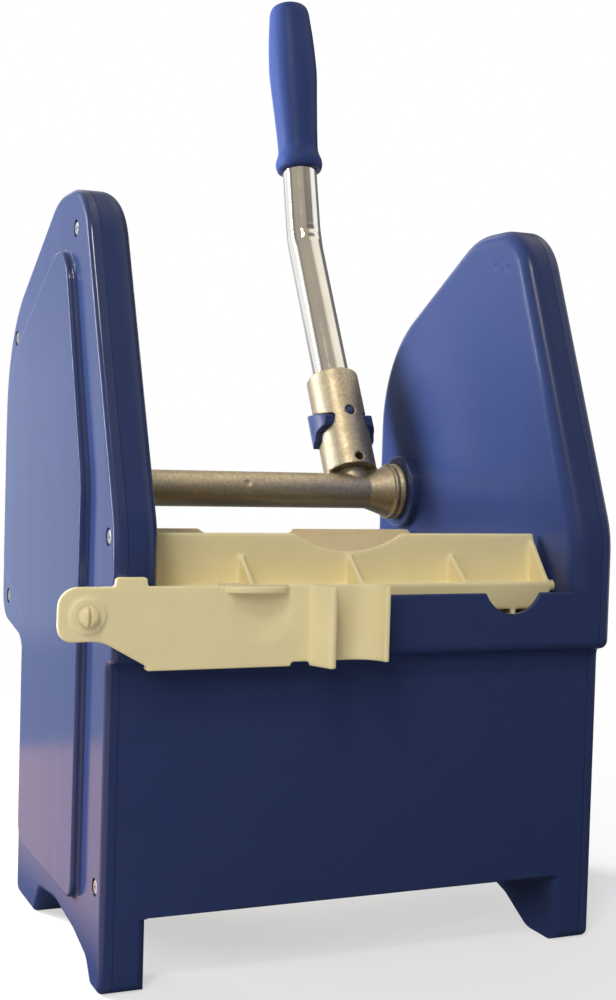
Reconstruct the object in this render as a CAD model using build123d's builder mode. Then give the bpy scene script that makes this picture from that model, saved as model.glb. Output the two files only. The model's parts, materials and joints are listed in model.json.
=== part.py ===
"""Mop wringer: a moulded box with two hollow cheeks, a geared hand lever and two press plates.

Millimetres. X runs across the wringer, Y from its front to its back and Z up from the floor.
The origin is the middle of the footprint. Places along the depth are given back from `front`,
the lower front wall. Pieces that come in pairs are drawn on the right, +X, and mirrored.
"""

import os
from math import acos, atan2, cos, degrees, hypot, pi, radians, sin, sqrt, tan

from build123d import *

# Box and cheeks
width = 320.0  # across the flat faces of both covers
depth = 211.0  # lower box, front to back
cheek_high = 457.0
cheek_thick = 27.0  # one cheek with its cover
rim_high = 222.0  # top of the front wall
arch_high = 41.0  # lower edge of the front and rear walls
band_step = 11.5  # how far the rim band stands proud of the lower front wall
band_low = 187.0  # lower edge of the rim band
band_slope = 3.0  # rise of that edge, front to back
knee_high = 258.0  # where the front edge of a cheek starts to lean back
slope_run = 83.5  # depth that the leaning front edge covers
top_run = 62.6  # flat top of a cheek, corner to corner
shoulder_high = 379.0  # rear corner of a cheek, before rounding
overhang = 66.0  # upper part of a cheek behind the lower box
overhang_high = 175.0
overhang_rise = 10.0  # slope of its underside
wall = 3.5
cheek_round = 11.0  # inner edge of a cheek
edge_round = 2.0  # small edges of mouldings
wall_round = 1.4  # edges of thin walls
front_foot = 20.0  # front to back
rear_foot = 51.0
heel_long = 31.0  # inner wall of a front foot, along the floor
heel_high = 14.5  # its lower edge behind that
foot_round = 6.0  # inner front edge of a foot
instep = 24.0  # height of the arch under a cheek
rear_wall_high = 150.0
notch_inset = 43.0  # half-round finger notches in the rim, from the cheeks
notch_r = 20.9
notch_deep = 13.0

# Covers
cover_deep = 7.5  # edge of a cover, from the seam to its flat face
seam_gap = 0.4  # shadow gap along the seam
cover_wall = 3.0
cover_round = 3.5
panel_rise = 5.0
panel_inset = 47.0  # front edge of the raised panel behind the lower front wall
panel_low = 40.0
panel_border = 25.0
low_screw = 58.0  # height of the lowest screws
screw_inset = 13.0  # screw centres from the outline
screw_r = 2.0
screw_head_r = 4.3
screw_head_high = 2.2
screw_recess_r = 5.2
screw_recess_deep = 2.6
screw_long = 14.0
boss_r = 6.0

# Lever shaft and its bushes
shaft_r = 13.0
journal_r = 11.0
square_end = 15.0
collar_r = 21.0
collar_long = 8.5
collar_groove = 2.0
collar_flare = 17.0  # the shaft swells to its collar over this length
bush_flange_r = 27.0
bush_flange_thick = 7.0
bush_sleeve_r = 15.0
pinion_bolt_r = 4.0
bolt_deep = 20.0
washer_thick = 2.0
bush_stand = 3.0  # sleeves and bosses stand this far into the cheek
running = 0.1  # radial clearance of a turning fit
slack = 0.2  # clearance of a fixed fit, all over
apart = 0.5  # gap between neighbours that turn past each other

# Lever
lever_inset = 41.5  # from the right cheek
lever_lean = 29.5  # degrees back of upright, below the bend
grip_lean = 13.5  # degrees back of upright, above the bend
bend_at = 228.0  # along the lever from the shaft axis
bend_r = 60.0
tube_r = 14.0
tube_wall = 1.5
socket_r = 20.0
socket_low = 14.0
neck_r = 12.0  # between the shaft and the socket
socket_top = 96.5
socket_floor = 24.0  # the tube stands on it
cross_hole_at = 19.5
cross_hole_r = 3.2
grip_low = 59.7  # along the upper lever from the bend
grip_long = 145.0
grip_thick = 17.2  # radius near the ends
grip_belly = 19.8
bead_r = 18.8
bead_tall = 12.0
bead_neck = 1.0  # the grip is thinner by this above the bead
grip_end = 10.0  # closed end beyond the tube
crown_in = 8.0  # flat of the closed end, from the side of the grip

# Release clip in the socket
stud_at = 59.0
stud_r = 3.6
stud_flange_r = 5.4
stud_flange_thick = 2.0
wing_front = 16.0  # front end of a wing, in front of the lever axis
wing_rear = 10.0
wing_top = 69.0  # rear end of its upper edge, along the lever
wing_low = 38.0
wing_slant = 11.5  # fall of its upper edge towards the front
wing_nose = 8.5  # height of its front end
wing_out = 24.5  # outer face from the lever axis
wing_travel = 3.0
window_in = 8.0  # inner side of the windows from the lever axis
stem_at = 46.5  # below the stud
stem_back = 3.0  # behind the lever axis
stem_wide = 7.0
stem_tall = 8.0
stem_lip = 2.0  # flange round a stem, inside the tube
stem_lip_thick = 3.0
stem_in = 5.0  # inner end of a stem from the lever axis
stud_in = 7.0  # inner end of the stud from the lever axis

# Gear train in each cheek
train_rise = 55.58  # degrees that the line from the jaw pivot to the shaft axis rises
train_bend = 147.58  # degrees at the idler, between its lines to both axes
pressure = radians(20)
backlash = 0.4
pinion_teeth = 20
idler_teeth = 32
sector_teeth = 52
gear_wide = 11.0
gear_gap = 4.5  # cheek wall to the gear faces
gear_clear = 1.5  # tips of the teeth to the rear wall of a cheek
hub_r = 17.0
hub_proud = 1.0  # outer end of a hub beyond the gear
axle_r = 6.0
lever_swing = 95.0  # degrees

# Rear jaw
pivot_high = 58.0
jaw_lean = 35.7  # degrees back of upright at rest
jaw_long = 231.0
jaw_clear = 17.8  # its top edge to the lever shaft
jaw_side = 2.0  # its ends to the cheeks
jaw_thick = 4.0
jaw_notch_half = 31.0
jaw_notch_deep = 38.0
jaw_hub_r = 14.0
jaw_shaft_r = 9.0
jaw_square = 12.0
jaw_bush_r = 12.0
jaw_chamfer = 5.0
jaw_rib_deep = 13.0
sector_bolt_r = 3.0
set_screw_r = 3.0
set_screws = 3
drains = 5  # slots in a row
drain_rows = 4
drain_wide = 8.0
drain_long = 26.0

# Front plate
plate_back = 34.0
plate_rise = 33.0  # top edge above the rim
plate_side = 3.0  # its ends to the cheeks
plate_thick = 4.0
plate_foot = 101.0  # where the plate turns into the sloping floor
ledge_rise = 1.5  # above the rim
lip_back = 12.0
lip_rise = 4.5  # above the rim
lip_tall = 17.5
gusset_thick = 3.0
gusset_drop = 12.0  # top of a gusset below the top of the plate
bite = 1.0  # ribs reach this far into the walls that they join
scallop_half = 36.0
scallop_deep = 11.0
trunnion_r = 3.5
bearing_ribs = 5  # they bear on the front wall
bearing_top = 170.0
bearing_low = 130.0

# Latch, measured from its snap pin
latch_out = 16.0  # pin beyond the face of the left cover
latch_drop = 8.0  # pin below the rim
latch_front = -19.5  # front face of the latch, in front of the lower front wall
latch_thick = 3.5
latch_rise = 7.5  # top edge above the rim
latch_tall = 46.2
latch_left = 16.0  # rounded end, left of the pin
latch_end_drop = 14.0  # its lower corner below the pin
latch_slant = 33.5  # lower edge slants to here
latch_long = 171.0
latch_pin_r = 4.5
latch_hub_r = 11.0
boss_rise = 1.2  # round boss on the front of the arm, under the pin's head
lug_r = 8.0
lug_deep = 16.0
tab_at = 24.0
tab_wide = 18.0
tab_rise = 5.0
ledge_at = 96.0
ledge_wide = 36.0
ledge_out = 8.0
ledge_thick = 4.0
dish_r = 110.0
dish_deep = 1.6
dish_shift = 3.5  # right of the ledge's middle
dish_drop = 15.0  # middle of the dish below the top edge
flange_thick = 2.5
fin_at = 132.5
fin_out = 15.0
fin_thick = 5.0
flare = 17.0  # curved end of the tongue
flare_out = 15.0
hook_wide = 16.0
hook_thick = 2.5
hook_drop = 8.0  # below the rim
hook_gap = 1.8

# Places worked out from the sizes above
front = -depth / 2
back = depth / 2
band_front = front - band_step
cheek_back = back + overhang
inner_x = width / 2 - cheek_thick
wall_x = inner_x + wall
seam_x = width / 2 - cover_deep
face_x = width / 2
panel_x = face_x + panel_rise
cavity_x = panel_x - cover_wall
gear_x = wall_x + gear_gap
hub_x = wall_x + bush_stand + apart
hub_end = gear_x + gear_wide + hub_proud
collar_end = inner_x - bush_flange_thick - apart
collar_x = collar_end - collar_long
journal_end = wall_x + bush_stand
axle_x = wall_x - wall / 2
axle_end = hub_end + apart + axle_r
lever_x = inner_x - lever_inset
notch_x = inner_x - notch_inset
jaw_half = inner_x - jaw_side
plate_half = inner_x - plate_side
plate_high = rim_high + plate_rise
ledge_high = rim_high + ledge_rise
lip_high = rim_high + lip_rise
latch_x = -face_x - latch_out
latch_z = rim_high - latch_drop
latch_top = rim_high + latch_rise
latch_low = latch_top - latch_tall
latch_end = latch_x + latch_long
ledge_x = latch_x + ledge_at
fin_x = latch_x + fin_at
drain_pitch = jaw_half / 3
gusset_pitch = 0.54 * plate_half
bearing_pitch = 0.4 * plate_half
set_screw_points = [((place - set_screws // 2) * 2 * drain_pitch, 0) for place in range(set_screws)]
train_reach = jaw_long + jaw_clear + shaft_r
near_teeth = (pinion_teeth + idler_teeth) / 2
far_teeth = (sector_teeth + idler_teeth) / 2
train_square = near_teeth**2 + far_teeth**2 - 2 * near_teeth * far_teeth * cos(radians(train_bend))
module = train_reach / sqrt(train_square)
tooth_ratio = pinion_teeth / sector_teeth
jaw_swing = lever_swing * tooth_ratio
pinion_pitch = module * pinion_teeth / 2
sector_pitch = module * sector_teeth / 2
shaft_y = cheek_back - wall - gear_clear - module - pinion_pitch
shaft_high = pivot_high + train_reach * sin(radians(train_rise))
pivot_y = shaft_y - train_reach * cos(radians(train_rise))


def idler_centre():
    """The idler meshes with both gears, on the front side of the line between their axes."""
    to_pivot = atan2(pivot_high - shaft_high, pivot_y - shaft_y)
    across = hypot(pivot_high - shaft_high, pivot_y - shaft_y)
    near = module * near_teeth
    far = module * far_teeth
    corner = acos((near**2 + across**2 - far**2) / (2 * near * across))
    return shaft_y + near * cos(to_pivot - corner), shaft_high + near * sin(to_pivot - corner)


idler_y, idler_z = idler_centre()

os.makedirs("parts", exist_ok=True)


def save(piece, name):
    """Label one piece and write it as its own file."""
    piece.label = name
    export_step(piece, f"parts/{name}.step")


def save_pair(piece, name):
    """Write a piece of the right side and its mirror image on the left."""
    save(piece, f"{name}_right")
    save(mirror(piece, about=Plane.YZ), f"{name}_left")


def rounded_face(corners):
    """A flat face from corners (y, z, radius), each corner rounded by its own radius."""
    with BuildSketch() as face:
        with BuildLine():
            points = [corner[:2] for corner in corners]
            radii = [corner[2] for corner in corners]
            FilletPolyline(points, radius=radii, close=True)
        make_face()
    return face.sketch


# Side outline of a cheek, from the front foot up and round
cheek_face = rounded_face(
    [
        (front, 0, 5),
        (front, band_low - band_slope, 4),
        (band_front, band_low, 6),
        (band_front, knee_high, 60),
        (band_front + slope_run, cheek_high, 45),
        (band_front + slope_run + top_run, cheek_high, 60),
        (cheek_back, shoulder_high, 95),
        (cheek_back, overhang_high + overhang_rise / 2, 20),
        (back, overhang_high - overhang_rise / 2, 16),
        (back, 0, 7),
        (back - rear_foot, 0, 5),
        (back - rear_foot - instep / 2, 0.8 * instep, 10),
        (0, instep, 60),
        (front + 3 * front_foot, 0.8 * instep, 30),
        (front + 1.5 * front_foot, instep / 2, 10),
        (front + front_foot, 0, 5),
    ]
)

# Inner wall of a front foot, longer than the outline of the cover
foot_face = rounded_face(
    [
        (front, 0, 5),
        (front, 2 * instep, 0),
        (front + 3 * heel_long, 2 * instep, 0),
        (front + 3 * heel_long, instep, 0),
        (front + 1.9 * heel_long, heel_high, 12),
        (front + heel_long, 0, 20),
    ]
)

# The raised panel keeps a border all round for the screws
panel_face = rounded_face(
    [
        (front + panel_inset, panel_low, 12),
        (front + panel_inset - band_slope, knee_high + panel_border, 60),
        (band_front + slope_run + panel_border, cheek_high - panel_border, 28),
        (cheek_back - panel_border, shoulder_high - panel_border, 75),
        (cheek_back - panel_border, overhang_high + 1.6 * panel_border, 16),
        (back - 0.85 * panel_border, overhang_high + 0.6 * panel_border, 16),
        (back - 0.85 * panel_border, panel_low, 14),
    ]
)

hollow_face = offset(cheek_face, -wall)
seam_face = offset(cheek_face, -seam_gap)
screw_points = [
    (front + screw_inset, low_screw),
    (band_front + screw_inset, knee_high - 0.25 * screw_inset),
    (band_front + slope_run + 1.25 * screw_inset, cheek_high - 1.9 * screw_inset),
    (cheek_back - 2.4 * screw_inset, shoulder_high - 0.3 * screw_inset),
    (cheek_back - 1.6 * screw_inset, overhang_high + 1.6 * screw_inset),
    (back - screw_inset, low_screw),
]

# Angles of the meshing points, measured in the Y Z plane from +Y towards +Z
to_idler = atan2(idler_z - shaft_high, idler_y - shaft_y)
to_sector = atan2(pivot_high - idler_z, pivot_y - idler_y)
mesh_angle = to_sector + pi
sector_margin = radians(7)
sector_from = mesh_angle - radians(jaw_swing) - sector_margin
sector_to = mesh_angle + sector_margin


def from_pivot(radius, angle, sideways=0.0):
    """A point in the Y Z plane at a radius and angle about the jaw pivot, and sideways below that line."""
    return (
        pivot_y + radius * cos(angle) + sideways * sin(angle),
        pivot_high + radius * sin(angle) - sideways * cos(angle),
    )


stop_at = 0.8 * sector_pitch  # rest stop, from the jaw pivot
sector_tip = sector_pitch + module
edge_offset = hub_r * (1 - stop_at / sector_tip)
stop_point = from_pivot(stop_at, sector_from, edge_offset + apart + boss_r)


def meshing_phase(teeth, phase, direction, next_teeth):
    """Phase of the next gear, so that its gap faces the tooth of the gear before it."""
    return direction + pi - (pi - teeth * (direction - phase)) / next_teeth


pinion_phase = 0.0
idler_phase = meshing_phase(pinion_teeth, pinion_phase, to_idler, idler_teeth)
sector_phase = meshing_phase(idler_teeth, idler_phase, to_sector, sector_teeth)


def gear_face(teeth, phase):
    """Involute gear about the origin, with the centre of a tooth at the angle phase."""
    pitch_r = module * teeth / 2
    base_r = pitch_r * cos(pressure)
    root_r = pitch_r - 1.2 * module
    tip_r = pitch_r + 0.95 * module
    half_tooth = (pi * module / 2 - backlash) / (2 * pitch_r)

    def flank(radius, side):
        roll = acos(min(1.0, base_r / radius))
        angle = half_tooth + tan(pressure) - pressure - tan(roll) + roll
        return radius * cos(angle), side * radius * sin(angle)

    start_r = max(base_r, root_r)
    middle_r = (start_r + tip_r) / 2
    foot_r = root_r - module / 2
    with BuildSketch() as tooth:
        with BuildLine():
            upper = ThreePointArc(flank(start_r, 1), flank(middle_r, 1), flank(tip_r, 1))
            lower = ThreePointArc(flank(start_r, -1), flank(middle_r, -1), flank(tip_r, -1))
            Line(upper @ 1, lower @ 1)
            foot = upper @ 0
            Polyline(upper @ 0, (foot_r, foot.Y), (foot_r, -foot.Y), lower @ 0)
        make_face()
    with BuildSketch() as gear:
        Circle(root_r)
        with PolarLocations(0, teeth, start_angle=degrees(phase)):
            add(tooth.sketch)
    return gear.sketch


# Housing: both cheek shells, the front wall, the rear wall and the feet in one moulding
with BuildPart() as housing:
    with BuildSketch(Plane.YZ.offset(inner_x)):
        add(cheek_face)
        with Locations((back, rim_high)):
            Rectangle(2 * depth, 2 * rim_high, align=(Align.MAX, Align.MAX), mode=Mode.SUBTRACT)
    extrude(amount=seam_x - inner_x)
    inner_edges = housing.faces().sort_by(Axis.X)[0].edges()
    fillet(inner_edges.sort_by(Axis.Z)[-1], radius=cheek_round)
    with BuildSketch(Plane.YZ.offset(inner_x)):
        with Locations((back, rim_high)):
            Rectangle(2 * depth, 2 * rim_high, align=(Align.MAX, Align.MAX))
        add(cheek_face, mode=Mode.INTERSECT)
    extrude(amount=seam_x - inner_x)
    with BuildSketch(Plane.YZ.offset(wall_x)):
        add(hollow_face)
    extrude(amount=seam_x - wall_x, mode=Mode.SUBTRACT)
    with BuildSketch(Plane.YZ.offset(seam_x)):
        add(cheek_face)
        add(seam_face, mode=Mode.SUBTRACT)
    extrude(amount=-seam_gap, mode=Mode.SUBTRACT)
    # Inner wall of the front foot, with its front edge rounded below the front wall
    with BuildSketch(Plane.YZ.offset(inner_x)):
        add(foot_face)
    extrude(amount=wall)
    with BuildSketch():
        with Locations((inner_x, front)):
            Rectangle(foot_round, foot_round, align=(Align.MIN, Align.MIN))
        with Locations((inner_x + foot_round, front + foot_round)):
            Circle(foot_round, mode=Mode.SUBTRACT)
    extrude(amount=arch_high, mode=Mode.SUBTRACT)
    # Front wall up to the rim, and a rear wall between the cheeks
    with BuildSketch(Plane.YZ) as wall_section:
        with Locations((front, arch_high)):
            Rectangle(4 * band_step, rim_high - arch_high, align=(Align.CENTER, Align.MIN))
        with Locations((back, arch_high)):
            Rectangle(4 * wall, rear_wall_high - arch_high, align=(Align.CENTER, Align.MIN))
        add(cheek_face, mode=Mode.INTERSECT)
        add(hollow_face, mode=Mode.SUBTRACT)
        wall_ends = wall_section.vertices().group_by(Axis.Y)
        fillet(wall_ends[0] + wall_ends[-1], radius=wall_round)
    extrude(amount=wall_x)
    with BuildSketch(Plane.XZ.offset(-front)):
        with Locations((notch_x, rim_high - notch_deep + notch_r)):
            Circle(notch_r)
    extrude(amount=2 * band_step, mode=Mode.SUBTRACT)
    # Bosses inside the cheek: cover screws, bushes and the idler axle
    with BuildSketch(Plane.YZ.offset(wall_x)):
        with Locations(*screw_points):
            Circle(boss_r)
            Circle(screw_r + slack, mode=Mode.SUBTRACT)
    extrude(amount=seam_x - wall_x)
    with BuildSketch(Plane.YZ.offset(wall_x)):
        with Locations((shaft_y, shaft_high)):
            Circle(bush_sleeve_r + 2 * wall)
        with Locations((pivot_y, pivot_high)):
            Circle(jaw_bush_r + 2 * wall)
        with Locations((idler_y, idler_z)):
            Circle(axle_r + wall)
    extrude(amount=bush_stand)
    # Rest stop under the edge of the sector
    with BuildSketch(Plane.YZ.offset(wall_x)):
        with Locations(stop_point):
            Circle(boss_r)
    extrude(amount=gear_gap + gear_wide)
    with BuildSketch(Plane.YZ.offset(inner_x - apart)):
        with Locations((shaft_y, shaft_high)):
            Circle(bush_sleeve_r)
        with Locations((pivot_y, pivot_high)):
            Circle(jaw_bush_r)
        with Locations((front + lip_back + trunnion_r, ledge_high)):
            Circle(trunnion_r + slack)
    extrude(amount=2 * wall + bush_stand, mode=Mode.SUBTRACT)
    with BuildSketch(Plane.YZ.offset(wall_x - wall / 2)):
        with Locations((idler_y, idler_z)):
            Circle(axle_r + slack / 2)
    extrude(amount=2 * wall, mode=Mode.SUBTRACT)
    mirror(about=Plane.YZ)
save(housing.part, "housing")

# Covers: a shallow pan with a raised panel
with BuildPart() as cover:
    with BuildSketch(Plane.YZ.offset(seam_x)):
        add(cheek_face)
    extrude(amount=cover_deep)
    fillet(cover.faces().sort_by(Axis.X)[-1].edges(), radius=cover_round)
    with BuildSketch(Plane.YZ.offset(face_x)):
        add(panel_face)
    extrude(amount=panel_rise)
    fillet(cover.faces().sort_by(Axis.X)[-1].edges(), radius=edge_round)
    border = cover.faces().filter_by(Axis.X).group_by(Axis.X)[-2][0]
    fillet(border.inner_wires()[0].edges(), radius=edge_round)
    with BuildSketch(Plane.YZ.offset(seam_x)):
        add(hollow_face)
    extrude(amount=cover_deep - cover_wall, mode=Mode.SUBTRACT)
    with BuildSketch(Plane.YZ.offset(face_x - cover_wall)):
        add(offset(panel_face, -cover_wall))
    extrude(amount=panel_rise, mode=Mode.SUBTRACT)
    with BuildSketch(Plane.YZ.offset(seam_x)):
        with Locations(*screw_points):
            Circle(boss_r)
    extrude(amount=cover_deep - cover_wall)
    with BuildSketch(Plane.YZ.offset(seam_x)):
        with Locations(*screw_points):
            Circle(screw_r + slack)
    extrude(amount=cover_deep, mode=Mode.SUBTRACT)
    with BuildSketch(Plane.YZ.offset(face_x)):
        with Locations(*screw_points):
            Circle(screw_recess_r)
    extrude(amount=-screw_recess_deep, mode=Mode.SUBTRACT)
    # Socket for the outer end of the idler axle
    with BuildSketch(Plane.YZ.offset(hub_end + apart)):
        with Locations((idler_y, idler_z)):
            Circle(axle_r + wall)
    extrude(amount=cavity_x - hub_end)
    with BuildSketch(Plane.YZ.offset(hub_end + apart)):
        with Locations((idler_y, idler_z)):
            Circle(axle_r + slack / 2)
    extrude(amount=axle_end - hub_end - apart, mode=Mode.SUBTRACT)
save(cover.part, "cover_right")

# Left cover: the mirror image, with a lug beside its front edge for the latch
left_shell = mirror(cover.part, about=Plane.YZ)
with BuildPart() as cover_left:
    add(left_shell)
    with BuildSketch(Plane.XZ.offset(-band_front)):
        with Locations((latch_x, latch_z)):
            Circle(lug_r)
            Rectangle(-face_x + cover_wall - latch_x, 2 * lug_r, align=(Align.MIN, Align.CENTER))
    extrude(amount=-lug_deep)
    with BuildSketch(Plane.XZ.offset(-band_front)):
        with Locations((latch_x, latch_z)):
            Circle(latch_pin_r + slack / 2)
    extrude(amount=-lug_deep, mode=Mode.SUBTRACT)
save(cover_left.part, "cover_left")

# Cover screws: pan heads with a cross recess
with BuildPart() as cover_screws:
    with BuildSketch(Plane.YZ.offset(face_x - screw_recess_deep)):
        with Locations(*screw_points):
            Circle(screw_head_r)
    extrude(amount=screw_head_high)
    head_faces = cover_screws.faces().filter_by(Axis.X).group_by(Axis.X)[-1]
    fillet(head_faces.edges(), radius=screw_head_high / 2)
    with BuildSketch(Plane.YZ.offset(face_x - screw_recess_deep)):
        with Locations(*screw_points):
            Circle(screw_r)
    extrude(amount=-screw_long)
    with BuildSketch(Plane.YZ.offset(face_x - screw_recess_deep + screw_head_high)):
        with Locations(*screw_points):
            Rectangle(screw_head_r, screw_r / 2)
            Rectangle(screw_r / 2, screw_head_r)
    extrude(amount=-screw_head_high / 2, mode=Mode.SUBTRACT)
save_pair(cover_screws.part, "cover_screws")

# Flanged bushes of the lever shaft
with BuildPart() as shaft_bush:
    with BuildSketch(Plane.YZ.offset(inner_x)):
        with Locations((shaft_y, shaft_high)):
            Circle(bush_flange_r)
    extrude(amount=-bush_flange_thick)
    fillet(shaft_bush.faces().sort_by(Axis.X)[0].edges(), radius=edge_round)
    with BuildSketch(Plane.YZ.offset(inner_x)):
        with Locations((shaft_y, shaft_high)):
            Circle(bush_sleeve_r - slack / 2)
    extrude(amount=wall + bush_stand)
    with BuildSketch(Plane.YZ.offset(inner_x - bush_flange_thick)):
        with Locations((shaft_y, shaft_high)):
            Circle(journal_r + running)
    extrude(amount=bush_flange_thick + wall + bush_stand, mode=Mode.SUBTRACT)
save_pair(shaft_bush.part, "shaft_bush")

# Planes of the lever: its local Z runs up the lower lever, and the side plane looks across it
lean = radians(lever_lean)
upper_lean = radians(grip_lean)
shaft_point = (lever_x, shaft_y, shaft_high)
bend_point = (lever_x, shaft_y + bend_at * sin(lean), shaft_high + bend_at * cos(lean))
lever_plane = Plane(origin=shaft_point, x_dir=(1, 0, 0), z_dir=(0, sin(lean), cos(lean)))
lever_side = Plane(origin=shaft_point, x_dir=(0, cos(lean), -sin(lean)), z_dir=(1, 0, 0))
lever_face = Plane(origin=shaft_point, x_dir=(1, 0, 0), z_dir=(0, -cos(lean), sin(lean)))
grip_face = Plane(origin=bend_point, x_dir=(1, 0, 0), z_dir=(0, -cos(upper_lean), sin(upper_lean)))
grip_axis = Axis(bend_point, (0, sin(upper_lean), cos(upper_lean)))

# Outline of a wing in the side plane: back from the lever axis and up the lever
stem_front = stem_back - stem_wide / 2
stem_low = stem_at - stem_tall / 2
wing_face = rounded_face(
    [
        (-wing_front, wing_top - wing_slant, edge_round),
        (wing_rear, wing_top, edge_round),
        (wing_rear, wing_low, edge_round),
        (stem_front - stem_lip / 2, stem_low - stem_lip / 2, apart),
        (stem_front - stem_wide / 2, stem_at, edge_round),
        (-wing_front + edge_round, wing_top - wing_slant - wing_nose, edge_round),
    ]
)
window_face = offset(wing_face, slack)

# Lever shaft: one casting with a collar beside each bush, squared ends and the lever socket
with BuildPart() as lever_shaft:
    with BuildSketch(Plane.XZ.offset(-shaft_y)):
        with BuildLine():
            Polyline(
                (0, shaft_high),
                (0, shaft_high + shaft_r),
                (collar_x - collar_flare, shaft_high + shaft_r),
                (collar_x, shaft_high + collar_r - collar_groove),
                (collar_x, shaft_high + collar_r),
                (collar_x + collar_long / 3, shaft_high + collar_r),
                (collar_x + collar_long / 2, shaft_high + collar_r - collar_groove),
                (collar_x + collar_long * 2 / 3, shaft_high + collar_r),
                (collar_end, shaft_high + collar_r),
                (collar_end, shaft_high + journal_r),
                (journal_end, shaft_high + journal_r),
                (journal_end, shaft_high),
                close=True,
            )
        make_face()
    revolve(axis=Axis((0, shaft_y, shaft_high), (1, 0, 0)))
    with BuildSketch(Plane.YZ.offset(journal_end)):
        with Locations((shaft_y, shaft_high)):
            Rectangle(square_end, square_end)
    extrude(amount=hub_end - apart - journal_end)
    with BuildSketch(Plane.YZ.offset(hub_end - apart)):
        with Locations((shaft_y, shaft_high)):
            Circle(pinion_bolt_r + slack)
    extrude(amount=-bolt_deep, mode=Mode.SUBTRACT)
    mirror(about=Plane.YZ)
    with BuildSketch(lever_plane):
        Circle(neck_r)
    extrude(amount=socket_floor)
    with BuildSketch(lever_plane.offset(socket_low)):
        Circle(socket_r)
    extrude(amount=socket_top - socket_low)
    with BuildSketch(lever_plane.offset(socket_floor)):
        Circle(tube_r + slack / 2)
    extrude(amount=socket_top - socket_floor, mode=Mode.SUBTRACT)
    with BuildSketch(lever_face):
        with Locations((0, cross_hole_at)):
            Circle(cross_hole_r)
    extrude(amount=2 * socket_r, both=True, mode=Mode.SUBTRACT)
    with BuildSketch(lever_face):
        with Locations((0, stud_at)):
            Circle(stud_r + slack)
    extrude(amount=2 * socket_r, mode=Mode.SUBTRACT)
    for side in (-1, 1):
        with BuildSketch(lever_side.offset(side * window_in)):
            add(window_face)
        extrude(amount=side * 2 * socket_r, mode=Mode.SUBTRACT)
save(lever_shaft.part, "lever_shaft")

# Lever tube: bent once between the socket and the grip
tube_long = grip_low + grip_long - grip_end
with BuildPart() as lever_tube:
    with BuildLine(Plane.YZ.offset(lever_x)) as tube_line:
        FilletPolyline(
            (shaft_y + socket_floor * sin(lean), shaft_high + socket_floor * cos(lean)),
            bend_point[1:],
            (bend_point[1] + tube_long * sin(upper_lean), bend_point[2] + tube_long * cos(upper_lean)),
            radius=bend_r,
        )
    with BuildSketch(lever_plane.offset(socket_floor)):
        Circle(tube_r)
        Circle(tube_r - tube_wall, mode=Mode.SUBTRACT)
    sweep(path=tube_line.wires()[0])
    with BuildSketch(lever_face):
        with Locations((0, stud_at)):
            Circle(stud_r + slack)
    extrude(amount=2 * tube_r, mode=Mode.SUBTRACT)
    with BuildSketch(lever_side):
        with Locations((stem_back, stem_at)):
            Rectangle(stem_wide + 2 * slack, stem_tall + 2 * slack)
    extrude(amount=2 * tube_r, both=True, mode=Mode.SUBTRACT)
save(lever_tube.part, "lever_tube")

# Grip: a turned shape with a bead at its lower end and a closed domed top
grip_top = grip_low + grip_long
with BuildPart() as lever_grip:
    with BuildSketch(grip_face):
        with BuildLine():
            bead = ThreePointArc(
                (bead_r - edge_round, grip_low),
                (bead_r, grip_low + bead_tall / 2),
                (grip_thick - bead_neck, grip_low + bead_tall),
            )
            side = Spline(
                bead @ 1,
                (grip_thick, grip_low + 0.25 * grip_long),
                (grip_belly, grip_low + 0.6 * grip_long),
                (grip_thick - bead_neck / 2, grip_top - crown_in),
                tangents=((0, 1), (-0.25, 1)),
            )
            crown = ThreePointArc(
                side @ 1,
                (grip_thick - 0.4 * crown_in, grip_top - 0.3 * crown_in),
                (grip_thick - crown_in, grip_top),
            )
            Polyline(
                crown @ 1,
                (0, grip_top),
                (0, grip_top - grip_end),
                (tube_r + slack / 2, grip_top - grip_end),
                (tube_r + slack / 2, grip_low),
                bead @ 0,
            )
        make_face()
    revolve(axis=grip_axis)
save(lever_grip.part, "lever_grip")

# Release wings: curled pads in the socket's side windows, on stems that reach into the tube
with BuildPart() as release_wing:
    with BuildSketch(lever_side.offset(window_in + wing_travel + slack)):
        add(wing_face)
    extrude(amount=wing_out)
    with BuildSketch(lever_plane.offset(wing_low)):
        Circle(wing_out)
        Circle(tube_r + wing_travel + slack, mode=Mode.SUBTRACT)
    extrude(amount=wing_top - wing_low, mode=Mode.INTERSECT)
    with BuildSketch(lever_side.offset(stem_in)):
        with Locations((stem_back, stem_at)):
            Rectangle(stem_wide, stem_tall)
    extrude(amount=socket_r - stem_in)
    with BuildSketch(lever_side.offset(stem_in)):
        with Locations((stem_back, stem_at)):
            Rectangle(stem_wide + 2 * stem_lip, stem_tall + 2 * stem_lip)
    extrude(amount=stem_lip_thick)
save(release_wing.part, "release_wing_right")
left_wing = mirror(release_wing.part, about=Plane.YZ.offset(lever_x))
save(left_wing, "release_wing_left")

# Locking stud in the front holes of the socket and the tube
with BuildPart() as lock_stud:
    with BuildSketch(lever_face.offset(stud_in)):
        with Locations((0, stud_at)):
            Circle(stud_r)
    extrude(amount=socket_r - stud_in)
    fillet(lock_stud.edges().filter_by(GeomType.CIRCLE).sort_by(Axis.Y)[0], radius=stud_r / 2)
    with BuildSketch(lever_face.offset(stud_in)):
        with Locations((0, stud_at)):
            Circle(stud_flange_r)
    extrude(amount=stud_flange_thick)
save(lock_stud.part, "lock_stud")

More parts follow.
